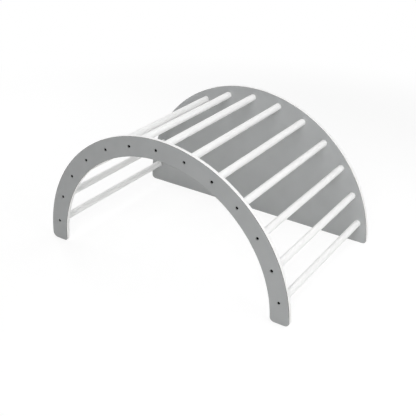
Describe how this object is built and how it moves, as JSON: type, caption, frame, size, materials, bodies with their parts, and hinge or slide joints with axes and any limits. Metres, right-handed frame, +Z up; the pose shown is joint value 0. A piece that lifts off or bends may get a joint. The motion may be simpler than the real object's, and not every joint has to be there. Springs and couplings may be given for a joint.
{
  "type": "climbing arch",
  "caption": "Toddler's climbing arch: white round rungs in a half-circle vault, between an open grey arch at the front and a solid grey half disc at the back.",
  "frame": {"origin": "on the floor, at the middle of the footprint", "axes": "+Z up; +X along the arch from its left foot to its right foot, seen from the open front; +Y from the open front board to the solid back board"},
  "size_m": [1, 0.603, 0.51],
  "materials": {
    "grey_laminate": "satin high-pressure laminate, plain grey",
    "white_core": "white lacquered board edge, rounded over",
    "white_lacquered_rung": "white satin lacquer over turned hardwood",
    "black_steel": "black oxide",
    "zinc_plated_steel": "bright zinc plate"
  },
  "bodies": {
    "root": {"front_arch_outer_laminate": "grey_laminate", "front_arch_core": "white_core", "front_arch_inner_laminate": "grey_laminate", "back_board_outer_laminate": "grey_laminate", "back_board_core": "white_core", "back_board_inner_laminate": "grey_laminate", "rung_01": "white_lacquered_rung", "rung_02": "white_lacquered_rung", "rung_03": "white_lacquered_rung", "rung_04": "white_lacquered_rung", "rung_05": "white_lacquered_rung", "rung_06": "white_lacquered_rung", "rung_07": "white_lacquered_rung", "rung_08": "white_lacquered_rung", "rung_09": "white_lacquered_rung", "rung_10": "white_lacquered_rung", "rung_11": "white_lacquered_rung", "rung_12": "white_lacquered_rung", "rung_13": "white_lacquered_rung", "front_screws": "black_steel", "front_inserts": "zinc_plated_steel", "back_screws": "black_steel", "back_inserts": "zinc_plated_steel"}
  },
  "joints": []
}
